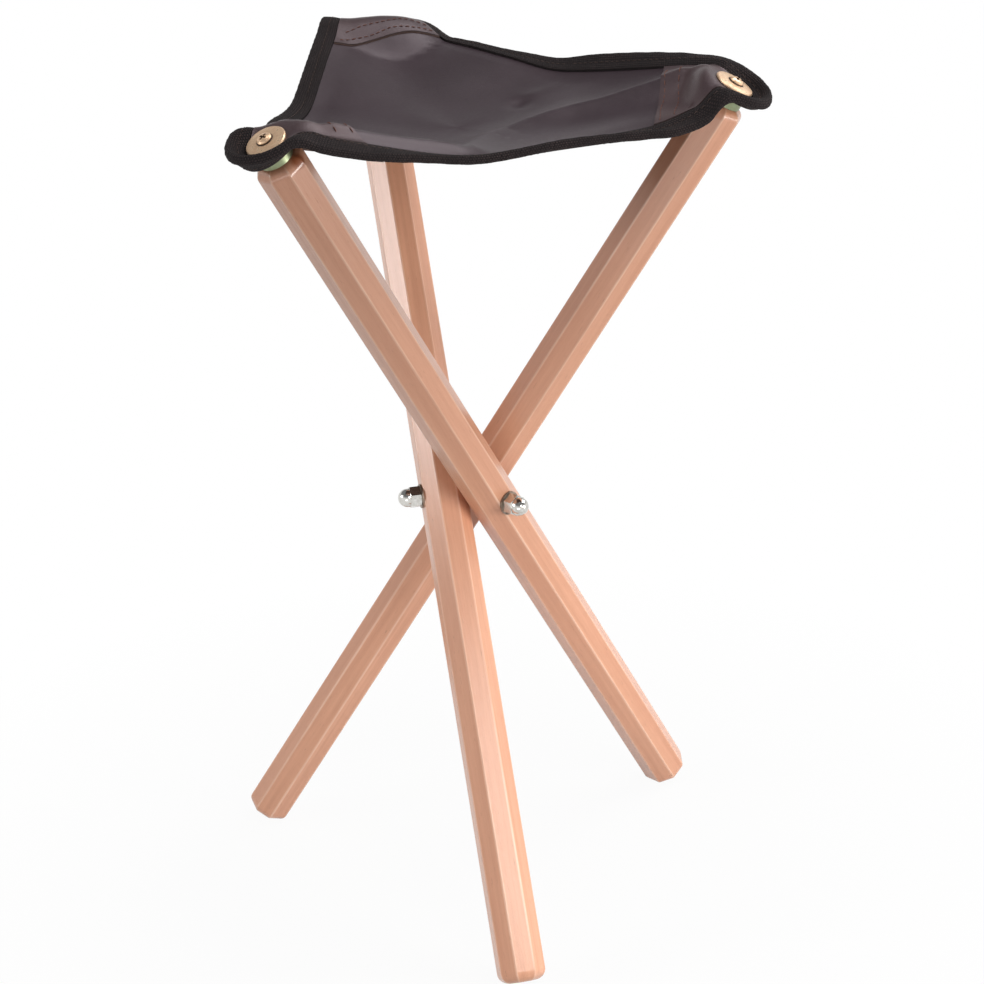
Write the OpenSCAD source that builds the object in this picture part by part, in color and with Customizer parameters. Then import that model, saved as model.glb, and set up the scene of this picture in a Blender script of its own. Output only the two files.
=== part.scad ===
// Tripod folding stool: three octagonal beech legs cross on one three-way bolt,
// and a leather seat is screwed to their upper ends.

/* [Legs] */
// Length of a leg
leg_l = 640; // [500:5:800]
// Width of a leg across its flats
leg_w = 30; // [26:0.5:36]
// Rounding of a leg's two ends
leg_round = 7; // [3:0.5:9]
// Distance from a leg's foot to its pivot hole
pivot_up = 326; // [250:2:400]
// Lean of each leg from upright with the seat taut
lean = 32; // [26:1:38]
// Least gap between two legs where they cross
leg_gap = 0.15; // [0.1:0.05:1]

/* [Three-way bolt] */
// Diameter of each stud
stud_d = 8; // [6:0.5:8.5]
// Radial clearance of a stud in its leg
stud_fit = 0.08; // [0.05:0.01:0.1]
// Outer diameter of the pivot washers
pivot_washer_d = 16; // [14:0.5:22]
// Thickness of the pivot washers
pivot_washer_t = 1.2; // [0.8:0.1:2.5]
// Width of an acorn nut across its flats
nut_w = 13; // [12:0.5:15]
// Height of an acorn nut's hexagon
nut_hex_h = 7.5; // [6:0.5:10]
// Height of an acorn nut from its face to the top of its dome
nut_h = 15; // [13:0.5:20]
// Depth of an acorn nut's blind hole
nut_hole = 10.5; // [8:0.5:11]

/* [Leg top fittings] */
// Diameter of the collar under the leather
collar_d = 22; // [18:0.5:24]
// Height of the collar
collar_h = 7.5; // [5:0.5:12]
// Diameter of the collar's sleeve in the leg
sleeve_d = 10; // [9:0.5:12]
// Length of the sleeve in the leg
sleeve_l = 24; // [18:1:35]
// Radial clearance of the sleeve in the leg
sleeve_fit = 0.05; // [0.02:0.01:0.1]
// Diameter of the seat screws
screw_d = 5; // [4:0.5:6]
// Radial clearance of a seat screw in its collar and washer
screw_fit = 0.05; // [0.03:0.01:0.1]
// Length of a screw's shank under its head
screw_l = 26; // [18:1:32]
// Diameter of a screw's head
screw_head_d = 9.5; // [9:0.5:12]
// Height of a screw's head
screw_head_h = 2.6; // [2:0.2:4]
// Diameter of the seat washers
seat_washer_d = 25.5; // [20:0.5:26]
// Thickness of a seat washer at its rim
seat_washer_t = 1.5; // [1:0.1:2.5]
// Rise of a seat washer's crown
seat_washer_crown = 0.7; // [0.2:0.1:1.5]

/* [Leather seat] */
// Thickness of the seat leather
leather_t = 2.2; // [1.5:0.1:3.5]
// Thickness of a corner patch
patch_t = 1.6; // [1:0.1:2.5]
// Reach of a corner patch inward from its screw
patch_reach = 45; // [36:1:60]
// Leather left round each screw, out to the seat's corner
corner_r = 24.5; // [23.5:0.5:30]
// How far the front side bows in between its corners
front_bow = 7; // [0:0.5:15]
// How far each back side bows in between its corners
back_bow = 4; // [0:0.5:10]
// Drop of the seat's middle below its corners
seat_sag = 27; // [18:1:45]
// Drop of the front side's middle below the corners
front_drop = 20.5; // [12:0.5:26]
// Drop of the right side's middle below the corners
right_drop = 4.5; // [-4:0.5:15]
// Drop of the left side's middle below the corners
left_drop = 12; // [-4:0.5:18]
// Rise of the leather just inside the left corner
left_rise = 13; // [8:1:18]
// Rise of the leather just inside the right corner
right_rise = 12; // [8:0.5:18]
// Rise of the leather just inside the back corner
back_rise = 38; // [20:1:42]
// How far the seat's tips curl up beyond the screws
tip_curl = 8; // [0:0.5:10]
// Height of the crease from the right corner to the front side
crease_h = 5; // [0:0.5:8]

/* [Edge binding] */
// Width of the binding on each face of the leather
bind_w = 11; // [9:0.5:11]
// Thickness of the binding tape
bind_t = 1.5; // [1:0.1:2]
// Gap between the sewn layers
layer_gap = 0.2; // [0.1:0.05:0.3]
// Gap between the leather and the metal that clamps it
soft_gap = 0.3; // [0.2:0.05:0.5]

/* [Hidden] */

// Directions of the three studs, one leg on each
stud_turn = [-60, 60, 180];
LEFT = 0;
RIGHT = 1;
BACK = 2;

// Where the legs cross: far enough out that their corners clear each other
leg_corner_w = leg_w / cos(22.5);
arm_r = (leg_corner_w + leg_gap) * sqrt(1 + pow(tan(lean), 2) / 4) / sqrt(3);
pivot_z = (pivot_up - leg_round) * cos(lean) + (leg_w / 2 - leg_round) * sin(lean) + leg_round;
leg_face = arm_r + leg_w / 2;

// Steps up a leg's own axis, measured from the pivot
leg_top = leg_l - pivot_up;
collar_top = leg_top + collar_h;
leather_low = collar_top + soft_gap;
leather_high = leather_low + leather_t;
patch_low = leather_high + layer_gap;
patch_high = patch_low + patch_t;
washer_low = patch_high + soft_gap;
washer_high = washer_low + seat_washer_t + seat_washer_crown;

// Small details of the metal parts
edge_break = 0.6;
recess_w = 1.3;
recess_l = 5.4;
recess_depth = 1.4;
end_gap = 0.5;

module metal_edge_disc(d, h, bore) {
    rotate_extrude($fn = 96)
        polygon([[bore / 2, 0], [d / 2, 0], [d / 2, h - edge_break], [d / 2 - edge_break, h], [bore / 2, h]]);
}

// A leg's own frame: X along its stud, Z up its axis, origin at the pivot
module on_leg(k) {
    translate([0, 0, pivot_z]) rotate([0, 0, stud_turn[k]]) translate([arm_r, 0, 0])
        rotate([lean, 0, 0]) children();
}

// A stud's own frame: Z out along the stud, origin at the middle of the bolt
module on_stud(k) {
    translate([0, 0, pivot_z]) rotate([0, 0, stud_turn[k]]) rotate([0, 90, 0]) children();
}

// One thin slice of a leg's rounded end, at turn a of the rounding
slice_t = 0.001;
module leg_slice(z, a, way) {
    inset = leg_round * (1 - sin(a));
    translate([0, 0, z + way * (leg_round * cos(a) - slice_t / 2)]) rotate([0, 0, 22.5])
        linear_extrude(slice_t, center = true) circle(r = (leg_w / 2 - inset) / cos(22.5), $fn = 8);
}

round_steps = [0, lean / 2, lean, lean + (90 - lean) / 3, lean + (90 - lean) * 2 / 3, 90];

module leg(k) {
    color("burlywood") on_leg(k) difference() {
        hull() {
            for (a = round_steps) {
                leg_slice(leg_top - leg_round, a, 1);
                leg_slice(-pivot_up + leg_round, a, -1);
            }
        }
        rotate([0, 90, 0]) cylinder(d = stud_d + 2 * stud_fit, h = 2 * leg_w, center = true, $fn = 96);
        translate([0, 0, leg_top - sleeve_l - end_gap])
            cylinder(d = sleeve_d + 2 * sleeve_fit, h = sleeve_l + 2 * end_gap, $fn = 96);
    }
}

module leg_left() { leg(LEFT); }
module leg_right() { leg(RIGHT); }
module leg_back() { leg(BACK); }

// The three studs stand out of one short barrel that turns clear of the legs' inner faces
stud_end = leg_face + pivot_washer_t + nut_hole - end_gap;
barrel_r = arm_r - leg_w / 2 - leg_gap;
barrel_h = 1.5 * stud_d;

module three_way_bolt() {
    color("silver") {
        for (k = [LEFT, RIGHT, BACK])
            on_stud(k) {
                cylinder(d = stud_d, h = stud_end - edge_break, $fn = 96);
                translate([0, 0, stud_end - edge_break])
                    cylinder(d1 = stud_d, d2 = stud_d - 2 * edge_break, h = edge_break, $fn = 96);
            }
        translate([0, 0, pivot_z]) cylinder(r = barrel_r, h = barrel_h, center = true, $fn = 96);
    }
}

module pivot_washer(k) {
    color("dimgray") on_stud(k) translate([0, 0, leg_face]) difference() {
        cylinder(d = pivot_washer_d, h = pivot_washer_t, $fn = 96);
        translate([0, 0, -1]) cylinder(d = stud_d + 2 * stud_fit, h = pivot_washer_t + 2, $fn = 96);
    }
}

module pivot_washer_left() { pivot_washer(LEFT); }
module pivot_washer_right() { pivot_washer(RIGHT); }
module pivot_washer_back() { pivot_washer(BACK); }

// Hexagon with its corners turned off, and a dome over the blind hole
module acorn_nut(k) {
    corner_d = nut_w / cos(30);
    dome_r = nut_w / 2 - edge_break / 2;
    dome_z = nut_h - dome_r;
    color("gainsboro") on_stud(k) translate([0, 0, leg_face + pivot_washer_t]) difference() {
        union() {
            intersection() {
                cylinder(d = corner_d, h = nut_hex_h, $fn = 6);
                rotate_extrude($fn = 96)
                    polygon([[0, 0], [nut_w / 2, 0], [corner_d / 2, edge_break],
                        [corner_d / 2, nut_hex_h - edge_break], [nut_w / 2, nut_hex_h], [0, nut_hex_h]]);
            }
            cylinder(r = dome_r, h = dome_z, $fn = 96);
            translate([0, 0, dome_z]) sphere(r = dome_r, $fn = 96);
        }
        translate([0, 0, -1]) cylinder(d = stud_d + 2 * stud_fit, h = nut_hole + 1, $fn = 96);
    }
}

module acorn_nut_left() { acorn_nut(LEFT); }
module acorn_nut_right() { acorn_nut(RIGHT); }
module acorn_nut_back() { acorn_nut(BACK); }

// Collar and sleeve are turned in one piece, with the screw's hole through both
module collar(k) {
    color("darkkhaki") on_leg(k) translate([0, 0, leg_top]) difference() {
        union() {
            metal_edge_disc(collar_d, collar_h, 0);
            translate([0, 0, -sleeve_l]) cylinder(d = sleeve_d, h = sleeve_l + 1, $fn = 96);
        }
        translate([0, 0, -sleeve_l - 1])
            cylinder(d = screw_d + 2 * screw_fit, h = sleeve_l + collar_h + 2, $fn = 96);
    }
}

module collar_left() { collar(LEFT); }
module collar_right() { collar(RIGHT); }
module collar_back() { collar(BACK); }

// Dished brass washer: flat below, crowned above
module seat_washer(k) {
    bore_r = screw_d / 2 + screw_fit;
    rim_r = seat_washer_d / 2;
    seat_r = screw_head_d / 2;
    crown_z = seat_washer_t + seat_washer_crown;
    color("burlywood") on_leg(k) translate([0, 0, washer_low]) rotate_extrude($fn = 96)
        polygon([[bore_r, 0], [rim_r, 0], [rim_r, seat_washer_t - edge_break],
            [rim_r - edge_break, seat_washer_t],
            [(rim_r + seat_r) / 2, seat_washer_t + seat_washer_crown * 0.7],
            [seat_r, crown_z], [bore_r, crown_z]]);
}

module seat_washer_left() { seat_washer(LEFT); }
module seat_washer_right() { seat_washer(RIGHT); }
module seat_washer_back() { seat_washer(BACK); }

// Pan head screw with a cross recess
module seat_screw(k) {
    color("burlywood") on_leg(k) translate([0, 0, washer_high]) difference() {
        union() {
            rotate_extrude($fn = 96)
                polygon([[0, 0], [screw_head_d / 2, 0], [screw_head_d / 2, screw_head_h * 0.4],
                    [screw_head_d * 0.42, screw_head_h * 0.75], [screw_head_d * 0.26, screw_head_h],
                    [0, screw_head_h]]);
            translate([0, 0, -screw_l]) cylinder(d = screw_d, h = screw_l + 1, $fn = 96);
        }
        for (turn = [0, 90])
            rotate([0, 0, turn]) translate([0, 0, screw_head_h])
                cube([recess_l, recess_w, 2 * recess_depth], center = true);
    }
}

module seat_screw_left() { seat_screw(LEFT); }
module seat_screw_right() { seat_screw(RIGHT); }
module seat_screw_back() { seat_screw(BACK); }

// Seat outline: a round at each corner and a bowed side between two corners
corner_steps = 4;
side_steps = 6;
half = corner_steps + side_steps;
stations = 6 * half;
corner_t = (leather_low + leather_high) / 2;
corner_out = corner_t * sin(lean);
corner_x = norm([corner_out, arm_r]);
corner_turn = [for (k = [0:2]) stud_turn[k] - 90 + atan2(arm_r, corner_out)];
tip_share = cos(lean / 2);
side_far = corner_x / 2 + corner_r * (tip_share / 4 + 0.75);
side_half = (corner_x + corner_r * tip_share / 2) * sin(60) - corner_r * sin(60) / 2;
side_bows = [front_bow, back_bow, back_bow];

// Which corner a station belongs to, and its step from that corner
function sector(j) = floor(((j + half) % stations) / (2 * half));
function step_of(j) = ((j + half) % (2 * half)) - half;
function side_of(j) = step_of(j) >= 0 ? sector(j) : (sector(j) + 2) % 3;

// A turned copy of a point given in a corner's own frame, X out through the corner
function turned(p, a) = [p[0] * cos(a) - p[1] * sin(a), p[0] * sin(a) + p[1] * cos(a)];

// Outline point at a step from the corner, drawn in by inset
function round_pt(b, inset) =
    [corner_x + (corner_r - inset) * tip_share * cos(b), (corner_r - inset) * sin(b)];
function side_pt(along, inset, bow) =
    let (away = side_far - bow * (1 - pow(along, 2)) - inset, x = side_half * along)
    [away * cos(60) + x * sin(60), away * sin(60) - x * cos(60)];
function half_pt(s, inset, bow) = s <= corner_steps
    ? round_pt(60 * s / corner_steps, inset)
    : side_pt(1 - (s - corner_steps) / side_steps, inset, bow);
function outline(j, inset) =
    let (s = step_of(j), p = half_pt(abs(s), inset, side_bows[side_of(j)]))
    turned([p[0], sign(s) * p[1]], corner_turn[sector(j)]);

// Height of the leather's underside over the pivot
function unit(a) = [cos(a), sin(a)];
function smooth(x) = let (c = max(0, min(1, x))) c * c * (3 - 2 * c);
corners = [for (k = [0:2]) corner_x * unit(corner_turn[k])];
flat_reach = 18;
bend_reach = 54;
corner_z = leather_low / cos(lean) - corner_out * tan(lean);
rises = [left_rise, right_rise, back_rise];
side_drops = [front_drop, right_drop, left_drop];
// How fast each side falls away from its first corner and towards its second
falls_after = [0.42, 1.65, 0.94];
falls_before = [0.09, 0.16, 0.18];

// Plane of the leather that a leg's top carries, and the tip's curl beyond the screw
function clamped_z(p, k) =
    let (out = p * unit(stud_turn[k] - 90), tip_in = (corner_r - bind_w) * tip_share)
    leather_low / cos(lean) - out * tan(lean)
    + tip_curl * smooth((out - corner_out - tip_in) / (bind_w * tip_share));
function clamp_share(p, k) = 1 - smooth((norm(p - corners[k]) - flat_reach) / (bend_reach - flat_reach));

// Rim height at a station before the corners are clamped
function rim_z(j) =
    let (s = step_of(j), side = side_of(j), rise = rises[sector(j)],
        to_mid = max(0, (abs(s) - corner_steps) / side_steps),
        fall = pow(to_mid, (s >= 0 ? falls_after : falls_before)[side]))
    corner_z + rise - (rise + side_drops[side]) * fall;

// The crease runs from the right corner to the middle of the front side
crease_from = corners[RIGHT] * 0.86;
crease_to = (side_far - front_bow) * 0.72 * unit(corner_turn[LEFT] + 66);
crease_wide = 13;
bowl_curve = 1.3;
function crease_z(p) =
    let (run = crease_to - crease_from, t = max(0, min(1, (p - crease_from) * run / (run * run))),
        d = norm(p - crease_from - t * run))
    crease_h * exp(-pow(d / crease_wide, 2)) * (1 - 0.4 * t);

function bowl_z(p, j, share) =
    let (low = corner_z - seat_sag) low + (rim_z(j) - low) * pow(share, bowl_curve) + crease_z(p);
function under_z(p, j, share) =
    let (k = sector(j), c = clamp_share(p, k))
    bowl_z(p, j, share) * (1 - c) + clamped_z(p, k) * c;
function thick(p, j, t) = t * (1 + (1 / cos(lean) - 1) * clamp_share(p, sector(j)));

// Rings of the leather, from the middle to the rim
inner_rings = 4;
patch_rings = 3;
patch_line = corner_x - patch_reach;
ring_in = inner_rings;
ring_bind = inner_rings + patch_rings;
ring_rim = ring_bind + 1;

// Share of the way from the middle to the binding at which a corner patch starts
function patch_share(j) =
    let (q = outline(j, bind_w)) min(patch_line / (q * unit(corner_turn[sector(j)])), 0.93);
function ring_share(i, j) = i <= ring_in
    ? patch_share(j) * i / ring_in
    : patch_share(j) + (1 - patch_share(j)) * (i - ring_in) / patch_rings;
function ring_pt(i, j) = i == ring_rim ? outline(j, 0) : outline(j, bind_w) * ring_share(i, j);
function lay(i, j, up_to, on_top) =
    let (p = ring_pt(i, j), share = norm(p) / norm(outline(j, 0)))
    [p[0], p[1], under_z(p, j, share) + (on_top ? thick(p, j, up_to) : 0)];

// A closed shell between two equal grids of rows by cols points, rows first
function grid_faces(rows, cols, base, flip) = [for (r = [0:rows - 2], c = [0:cols - 2])
    let (a = base + r * cols + c, b = a + 1, d = a + cols, e = d + 1)
    each flip ? [[a, b, e], [a, e, d]] : [[a, e, b], [a, d, e]]];

module seat_panel() {
    n = stations;
    top = [for (i = [1:ring_rim], j = [0:n - 1]) lay(i, j, leather_t, true)];
    low = [for (i = [1:ring_rim], j = [0:n - 1]) lay(i, j, 0, false)];
    mid_z = corner_z - seat_sag + crease_z([0, 0]);
    points = concat(top, low, [[0, 0, mid_z + leather_t], [0, 0, mid_z]]);
    shell = n * ring_rim;
    faces = concat(
        [for (j = [0:n - 1]) [2 * shell, (j + 1) % n, j]],
        [for (j = [0:n - 1]) [2 * shell + 1, shell + j, shell + (j + 1) % n]],
        [for (i = [0:ring_rim - 2], j = [0:n - 1])
            let (a = i * n + j, b = i * n + (j + 1) % n, d = a + n, e = b + n)
            each [[a, b, e], [a, e, d], [shell + a, shell + e, shell + b], [shell + a, shell + d, shell + e]]],
        [for (j = [0:n - 1])
            let (a = shell - n + j, b = shell - n + (j + 1) % n)
            each [[a, b, shell + b], [a, shell + b, shell + a]]]);
    color("dimgray") difference() {
        translate([0, 0, pivot_z]) polyhedron(points, faces);
        screw_holes();
    }
}

module screw_holes() {
    for (k = [LEFT, RIGHT, BACK])
        on_leg(k) translate([0, 0, collar_top]) cylinder(d = screw_d + 2 * soft_gap, h = 10, $fn = 48);
}

// A patch lies on the leather from its straight inner edge out to the binding
patch_span = corner_steps + 1;
patch_cut = 0.03;

module corner_patch(k) {
    js = [for (s = [-patch_span:patch_span]) (2 * half * k + s + stations) % stations];
    cols = len(js);
    rows = patch_rings + 1;
    function edge_pt(j, up) =
        let (a = lay(ring_bind, j, up, true), b = lay(ring_bind - 1, j, up, true)) a + (b - a) * patch_cut;
    function row_pt(r, j, up) = r == rows - 1 ? edge_pt(j, up) : lay(ring_in + r, j, up, true);
    low = [for (r = [0:rows - 1], j = js) row_pt(r, j, leather_t + layer_gap)];
    top = [for (r = [0:rows - 1], j = js) row_pt(r, j, leather_t + layer_gap + patch_t)];
    count = rows * cols;
    rim = concat([for (c = [0:cols - 1]) c], [for (r = [1:rows - 1]) r * cols + cols - 1],
        [for (c = [cols - 2:-1:0]) (rows - 1) * cols + c], [for (r = [rows - 2:-1:1]) r * cols]);
    sides = [for (e = [0:len(rim) - 1])
        let (a = rim[e], b = rim[(e + 1) % len(rim)]) each [[a, b, count + b], [a, count + b, count + a]]];
    color("gray") difference() {
        translate([0, 0, pivot_z])
            polyhedron(concat(low, top),
                concat(grid_faces(rows, cols, 0, false), grid_faces(rows, cols, count, true), sides));
        screw_holes();
    }
}

module corner_patch_left() { corner_patch(LEFT); }
module corner_patch_right() { corner_patch(RIGHT); }
module corner_patch_back() { corner_patch(BACK); }

// The tape folds over the leather's edge: a channel with a slot for the leather
function bind_section(j) =
    let (inner = lay(ring_bind, j, 0, false), outer = lay(ring_rim, j, 0, false),
        flat_out = outline(j, 0) - outline(j, 1), out = [flat_out[0], flat_out[1], 0] / norm(flat_out),
        ti = thick([inner[0], inner[1]], j, 1), to = thick([outer[0], outer[1]], j, 1),
        up_in = [0, 0, ti], up_out = [0, 0, to], g = layer_gap)
    [inner + up_in * (leather_t + g + bind_t), outer + up_out * (leather_t + g + bind_t),
        outer + out * (g + bind_t) + up_out * leather_t * 0.8, outer + out * (g + bind_t) + up_out * leather_t * 0.2,
        outer - up_out * (g + bind_t), inner - up_in * (g + bind_t),
        inner - up_in * g, outer + out * g - up_out * g,
        outer + out * g + up_out * (leather_t + g), inner + up_in * (leather_t + g)];

module edge_binding() {
    n = stations;
    m = 10;
    slot_low = 6;
    points = [for (j = [0:n - 1]) each bind_section(j)];
    faces = [for (j = [0:n - 1], s = [0:m - 1])
        let (a = j * m + s, b = j * m + (s + 1) % m, c = ((j + 1) % n) * m + s, d = ((j + 1) % n) * m + (s + 1) % m)
        each s == slot_low ? [[a, d, b], [a, c, d]] : [[a, c, b], [b, c, d]]];
    color("black") translate([0, 0, pivot_z]) polyhedron(points, faces);
}

leg_left();
leg_right();
leg_back();
three_way_bolt();
pivot_washer_left();
pivot_washer_right();
pivot_washer_back();
acorn_nut_left();
acorn_nut_right();
acorn_nut_back();
collar_left();
collar_right();
collar_back();
seat_panel();
corner_patch_left();
corner_patch_right();
corner_patch_back();
edge_binding();
seat_washer_left();
seat_washer_right();
seat_washer_back();
seat_screw_left();
seat_screw_right();
seat_screw_back();
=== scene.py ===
import math

import bmesh
import bpy
import numpy as np
from mathutils import Matrix, Vector


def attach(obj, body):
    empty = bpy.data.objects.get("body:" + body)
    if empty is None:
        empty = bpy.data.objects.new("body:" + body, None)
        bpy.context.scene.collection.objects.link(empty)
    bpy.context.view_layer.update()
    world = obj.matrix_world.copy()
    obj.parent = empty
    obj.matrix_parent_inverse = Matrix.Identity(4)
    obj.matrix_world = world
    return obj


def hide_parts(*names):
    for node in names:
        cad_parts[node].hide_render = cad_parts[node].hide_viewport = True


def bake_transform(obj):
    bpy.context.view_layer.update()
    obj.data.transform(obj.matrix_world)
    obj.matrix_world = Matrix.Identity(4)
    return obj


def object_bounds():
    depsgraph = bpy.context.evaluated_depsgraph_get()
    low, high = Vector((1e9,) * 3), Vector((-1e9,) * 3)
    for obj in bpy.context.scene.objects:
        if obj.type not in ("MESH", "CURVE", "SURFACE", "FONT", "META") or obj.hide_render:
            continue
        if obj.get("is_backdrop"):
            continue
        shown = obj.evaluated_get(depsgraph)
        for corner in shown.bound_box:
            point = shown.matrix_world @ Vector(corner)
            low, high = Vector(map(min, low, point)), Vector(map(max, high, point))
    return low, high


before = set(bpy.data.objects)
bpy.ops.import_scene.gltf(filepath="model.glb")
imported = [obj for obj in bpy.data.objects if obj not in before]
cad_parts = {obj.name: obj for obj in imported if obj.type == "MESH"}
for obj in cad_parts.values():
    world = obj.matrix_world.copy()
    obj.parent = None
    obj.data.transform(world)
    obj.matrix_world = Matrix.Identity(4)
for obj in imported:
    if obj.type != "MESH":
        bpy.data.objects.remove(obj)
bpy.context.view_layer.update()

# Camera
# A long lens about 1.6 m away and a third of a metre above the seat. The camera
# leans slightly to one side, as it did for the photograph.
eye = Vector((-0.3556, -1.4759, 0.9055))
looked_at = Vector((0.0130, -0.00325, 0.2795))
camera_lean = math.radians(-1.91)
ahead = (looked_at - eye).normalized()
level = ahead.cross(Vector((0, 0, 1))).normalized()
above = level.cross(ahead)
across = level * math.cos(camera_lean) + above * math.sin(camera_lean)
upward = above * math.cos(camera_lean) - level * math.sin(camera_lean)


def placed(name, data):
    thing = bpy.data.objects.new(name, data)
    bpy.context.scene.collection.objects.link(thing)
    return thing


lens = bpy.data.cameras.new("photo_camera")
lens.lens = 89.2
lens.sensor_width = 36.0
lens.clip_start = 0.05
lens.clip_end = 200
camera = placed("photo_camera", lens)
camera.matrix_world = Matrix(
    (
        (across.x, upward.x, -ahead.x, eye.x),
        (across.y, upward.y, -ahead.y, eye.y),
        (across.z, upward.z, -ahead.z, eye.z),
        (0, 0, 0, 1),
    )
)
bpy.context.scene.camera = camera
bpy.context.scene.view_settings.view_transform = "Standard"

# Studio
# A white paper floor that runs out of sight, and white walls below a dimmer ceiling.
# Soft boxes stand in front, at the left, high at the right and overhead, and two low
# ones light the legs' faces. The floor keeps the soft shadow.
floor_r = 40.0
floor_z = -0.0004
lit_middle = Vector((0, 0, 0.32))

# The camera sees the paper at near_white within shade_r of the middle and pure white
# past white_r, and the white walls dim where a glance rises from wall_top to ceiling_low
near_white = 0.95
shade_r, white_r = 0.2, 0.5
wall_top, ceiling_low = 0.25, 0.55


def put(tree, kind, sockets=None, **settings):
    """Adds a node. A socket's value is a number, a colour or another node's output."""
    made = tree.nodes.new(kind)
    for name, value in settings.items():
        setattr(made, name, value)
    for name, value in (sockets or {}).items():
        if isinstance(value, bpy.types.NodeSocket):
            tree.links.new(value, made.inputs[name])
        else:
            made.inputs[name].default_value = value
    return made


def maths(tree, kind, a, b=0.0):
    return put(tree, "ShaderNodeMath", {0: a, 1: b}, operation=kind).outputs[0]


def ranged(tree, value, low, high, to_low=0.0, to_high=1.0):
    """Runs from to_low to to_high while the value runs from low to high."""
    sockets = {"Value": value, "From Min": low, "From Max": high}
    sockets.update({"To Min": to_low, "To Max": to_high})
    return put(tree, "ShaderNodeMapRange", sockets).outputs[0]


def length_of(tree, vector):
    return put(tree, "ShaderNodeVectorMath", {0: vector}, operation="LENGTH").outputs["Value"]


def either(tree, share, a, b):
    """Shader a where the share is 0, and shader b where it is 1."""
    return put(tree, "ShaderNodeMixShader", {"Fac": share, 1: a, 2: b}).outputs[0]


def new_finish(name):
    finish = bpy.data.materials.new(name)
    finish.use_nodes = True
    finish.node_tree.nodes.clear()
    return finish, finish.node_tree


def seen_directly(tree):
    """1 for what the camera sees, straight or in metal and glass, and 0 for the rest."""
    path = put(tree, "ShaderNodeLightPath").outputs
    straight = maths(tree, "MAXIMUM", path["Is Camera Ray"], path["Is Glossy Ray"])
    return maths(tree, "MAXIMUM", straight, path["Is Transmission Ray"])


paper, tree = new_finish("studio_paper")
lit = put(tree, "ShaderNodeBsdfDiffuse", {"Color": (0.55, 0.55, 0.55, 1)}).outputs[0]
glow = put(tree, "ShaderNodeEmission", {"Color": (1, 1, 1, 1), "Strength": 1.0}).outputs[0]
near = length_of(tree, put(tree, "ShaderNodeTexCoord").outputs["Object"])
whiter = ranged(tree, near, shade_r, white_r, near_white)
upper = either(tree, maths(tree, "MULTIPLY", seen_directly(tree), whiter), lit, glow)
# Seen from below, the paper is clear, so that the stool's underside shows
below = put(tree, "ShaderNodeNewGeometry").outputs["Backfacing"]
clear = put(tree, "ShaderNodeBsdfTransparent").outputs[0]
put(tree, "ShaderNodeOutputMaterial", {"Surface": either(tree, below, upper, clear)})

ground = bpy.data.meshes.new("studio_floor")
rim = [
    (floor_r * math.cos(math.radians(a)), floor_r * math.sin(math.radians(a)), floor_z)
    for a in range(0, 360, 6)
]
ground.from_pydata(rim, [], [list(range(len(rim)))])
ground.materials.append(paper)
placed("studio_floor", ground)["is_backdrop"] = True

walls = bpy.data.worlds.new("studio_walls")
walls.use_nodes = True
tree = walls.node_tree
tree.nodes.clear()
fill = put(tree, "ShaderNodeBackground", {"Color": (0.97, 0.98, 1.0, 1), "Strength": 0.24})
white = put(tree, "ShaderNodeBackground", {"Color": (1, 1, 1, 1), "Strength": 1.0})
looking = put(tree, "ShaderNodeTexCoord").outputs["Generated"]
high = put(tree, "ShaderNodeSeparateXYZ", {0: looking}).outputs["Z"]
walled = ranged(tree, high, wall_top, ceiling_low, 1.0, 0.0)
share = maths(tree, "MULTIPLY", seen_directly(tree), walled)
around = either(tree, share, fill.outputs[0], white.outputs[0])
put(tree, "ShaderNodeOutputWorld", {"Surface": around})
bpy.context.scene.world = walls


def soft_box(name, azimuth, elevation, away, wide, high, watts, colour=(1, 1, 1)):
    lamp = bpy.data.lights.new(name, "AREA")
    lamp.shape = "RECTANGLE"
    lamp.size = wide
    lamp.size_y = high
    lamp.energy = watts
    lamp.color = colour
    a, e = math.radians(azimuth), math.radians(elevation)
    back = Vector(
        (math.sin(a) * math.cos(e), -math.cos(a) * math.cos(e), math.sin(e))
    )
    box = placed(name, lamp)
    box.location = lit_middle + back * away
    box.rotation_mode = "QUATERNION"
    box.rotation_quaternion = (-back).to_track_quat("-Z", "Y")


soft_box("front_box", 14, 26, 2.4, 0.55, 0.6, 9)
soft_box("left_box", -90, 20, 2.0, 0.6, 0.5, 13)
soft_box("low_left_box", -22, -11, 1.2, 0.6, 0.3, 1.7)
soft_box("low_right_box", 48, 4, 1.2, 0.5, 0.3, 9, (1, 0.98, 0.95))
soft_box("right_box", 100, 50, 2.2, 1.5, 1.5, 30)
soft_box("top_box", 0, 88, 2.2, 1.0, 1.0, 14)

# Legs
# Three octagonal beech rods, rounded at both ends and lacquered satin. Each is bored
# across for its stud and down its top end for the collar's sleeve. Lengths along a
# rod are counted from its stud.
lean = math.radians(32)
stud_turns = {"left": -60.0, "right": 60.0, "back": 180.0}
pivot_z = 0.281767
arm_r = 0.019732
leg_half = 0.015
leg_top = 0.314
leg_foot = -0.326
end_round = 0.007
eased_edge = 0.0011
stud_bore_r = 0.00408
stud_bore_length = 0.05
sleeve_bore_r = 0.00505
sleeve_bore_depth = 0.0245
rod_sharp = 38
# Along each rod the colour is scaled towards the top end as painted shade under the seat:
# darker on the left and right rods, and a little lighter (painted light) on the back one
shade_from, shade_to = -0.14, 0.24
painted_top_shades = (0.64, 0.74, 1.08)
drip_at = (leg_half - 0.001, 0.0048, leg_top - 0.003)
drip_r, drip_full_r = 0.0066, 0.0034
drip_stains = (0.95, 0.0, 0.0)


def leg_frame(side):
    return (
        Matrix.Translation((0, 0, pivot_z))
        @ Matrix.Rotation(math.radians(stud_turns[side]), 4, "Z")
        @ Matrix.Translation((arm_r, 0, 0))
        @ Matrix.Rotation(lean, 4, "X")
    )


def new_piece(name, mesh, *finishes):
    for finish in finishes:
        mesh.materials.append(finish)
    return placed(name, mesh)


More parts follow.
